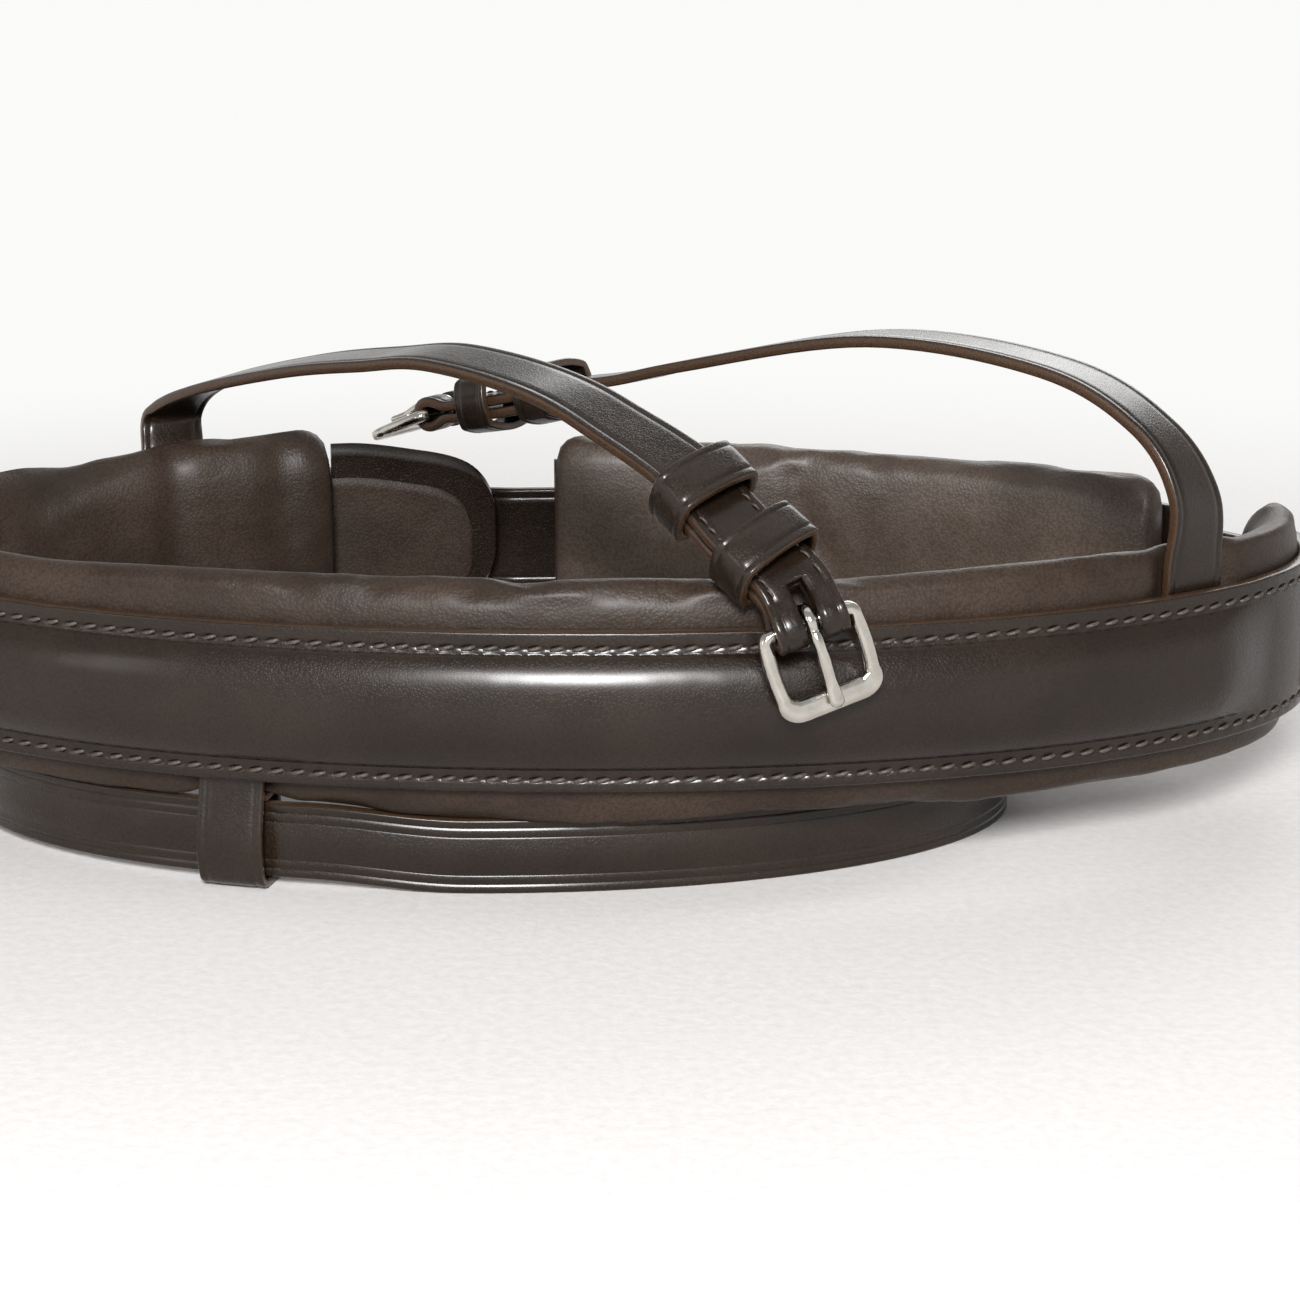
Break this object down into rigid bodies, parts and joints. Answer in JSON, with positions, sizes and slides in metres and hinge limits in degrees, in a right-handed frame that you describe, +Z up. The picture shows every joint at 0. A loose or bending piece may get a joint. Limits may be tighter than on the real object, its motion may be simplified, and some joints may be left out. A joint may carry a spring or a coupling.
{
  "type": "padded flash noseband of a bridle",
  "caption": "Padded leather flash noseband lying as an oval ring, with arched hanger straps ending in open buckles, a chin strap with its pad, and a buckled flash strap under it",
  "frame": {"origin": "on the surface that it lies on, in the middle of the whole box seen from above", "axes": "+X runs along the ring's long side, -Y is the side that faces the viewer in the picture, +Z is up"},
  "size_m": [0.3304, 0.1862, 0.1059],
  "materials": {
    "bridle_leather": "satin, finished and lightly polished",
    "lining_leather": "soft, fine grained",
    "padding": "plain foam",
    "nickel": "polished"
  },
  "bodies": {
    "noseband": {"nosepiece_face": "bridle_leather", "nosepiece_filler": "padding", "nosepiece_foam": "padding", "nosepiece_lining": "lining_leather", "left_hanger_root": "bridle_leather", "right_hanger_root": "bridle_leather", "flash_loop": "bridle_leather", "flash_strap": "bridle_leather", "flash_buckle_frame": "nickel", "flash_fixed_keeper": "bridle_leather", "chin_chape": "bridle_leather", "chin_buckle_frame": "nickel", "chin_fixed_keeper": "bridle_leather", "chin_strap": "bridle_leather", "chin_pad_back": "bridle_leather", "chin_pad_lining": "lining_leather", "chin_pad_foam": "padding", "chin_buckle_underlay": "lining_leather"},
    "left_hanger": {"left_hanger_strap": "bridle_leather", "left_fixed_keeper": "bridle_leather"},
    "left_buckle": {"left_buckle_frame": "nickel"},
    "left_tongue": {"left_buckle_tongue": "nickel"},
    "left_runner": {"left_runner": "bridle_leather"},
    "right_hanger": {"right_hanger_strap": "bridle_leather", "right_fixed_keeper": "bridle_leather"},
    "right_buckle": {"right_buckle_frame": "nickel"},
    "right_tongue": {"right_buckle_tongue": "nickel"},
    "right_runner": {"right_runner": "bridle_leather"},
    "chin_tongue": {"chin_buckle_tongue": "nickel"},
    "chin_runner": {"chin_runner": "bridle_leather"},
    "flash_tongue": {"flash_buckle_tongue": "nickel"},
    "flash_runner": {"flash_runner": "bridle_leather"}
  },
  "joints": [
    {"name": "left_hanger_lift", "type": "hinge", "parent": "noseband", "child": "left_hanger", "pos_m": [-0.10197, 0.04518, 0.06935], "axis": [-0.9319, -0.3628, 0], "range_deg": [0, 70]},
    {"name": "left_buckle_swing", "type": "hinge", "parent": "left_hanger", "child": "left_buckle", "pos_m": [0.04491, -0.08713, 0.061], "axis": [-0.9204, -0.2511, -0.2996], "range_deg": [0, 60]},
    {"name": "left_tongue_swing", "type": "hinge", "parent": "left_buckle", "child": "left_tongue", "pos_m": [0.04491, -0.08713, 0.061], "axis": [-0.9204, -0.2511, -0.2996], "range_deg": [0, 60]},
    {"name": "left_runner_slide", "type": "slide", "parent": "left_hanger", "child": "left_runner", "axis": [0.6209, -0.5465, -0.562], "range_m": [-0.002, 0.005]},
    {"name": "right_hanger_lift", "type": "hinge", "parent": "noseband", "child": "right_hanger", "pos_m": [0.12784, -0.04787, 0.06293], "axis": [0.8461, 0.533, 0], "range_deg": [0, 70]},
    {"name": "right_buckle_swing", "type": "hinge", "parent": "right_hanger", "child": "right_buckle", "pos_m": [-0.03809, 0.07647, 0.0745], "axis": [0.5614, 0.8275, 0.0128], "range_deg": [0, 60]},
    {"name": "right_tongue_swing", "type": "hinge", "parent": "right_buckle", "child": "right_tongue", "pos_m": [-0.03809, 0.07647, 0.0745], "axis": [0.5614, 0.8275, 0.0128], "range_deg": [0, 60]},
    {"name": "right_runner_slide", "type": "slide", "parent": "right_hanger", "child": "right_runner", "axis": [-0.7763, 0.5737, -0.2613], "range_m": [-0.002, 0.005]},
    {"name": "chin_tongue_swing", "type": "hinge", "parent": "noseband", "child": "chin_tongue", "pos_m": [-0.05297, 0.06783, 0.04581], "axis": [0.1243, 0.0197, 0.992], "range_deg": [0, 8]},
    {"name": "chin_runner_slide", "type": "slide", "parent": "noseband", "child": "chin_runner", "axis": [0.9609, 0.2767, 0.0084], "range_m": [-0.004, 0.006]},
    {"name": "flash_tongue_swing", "type": "hinge", "parent": "noseband", "child": "flash_tongue", "pos_m": [-0.01807, 0.04865, 0.0114], "axis": [0, 0, -1], "range_deg": [0, 8]},
    {"name": "flash_runner_slide", "type": "slide", "parent": "noseband", "child": "flash_runner", "axis": [-0.9848, 0.1738, 0], "range_m": [-0.003, 0.005]}
  ]
}
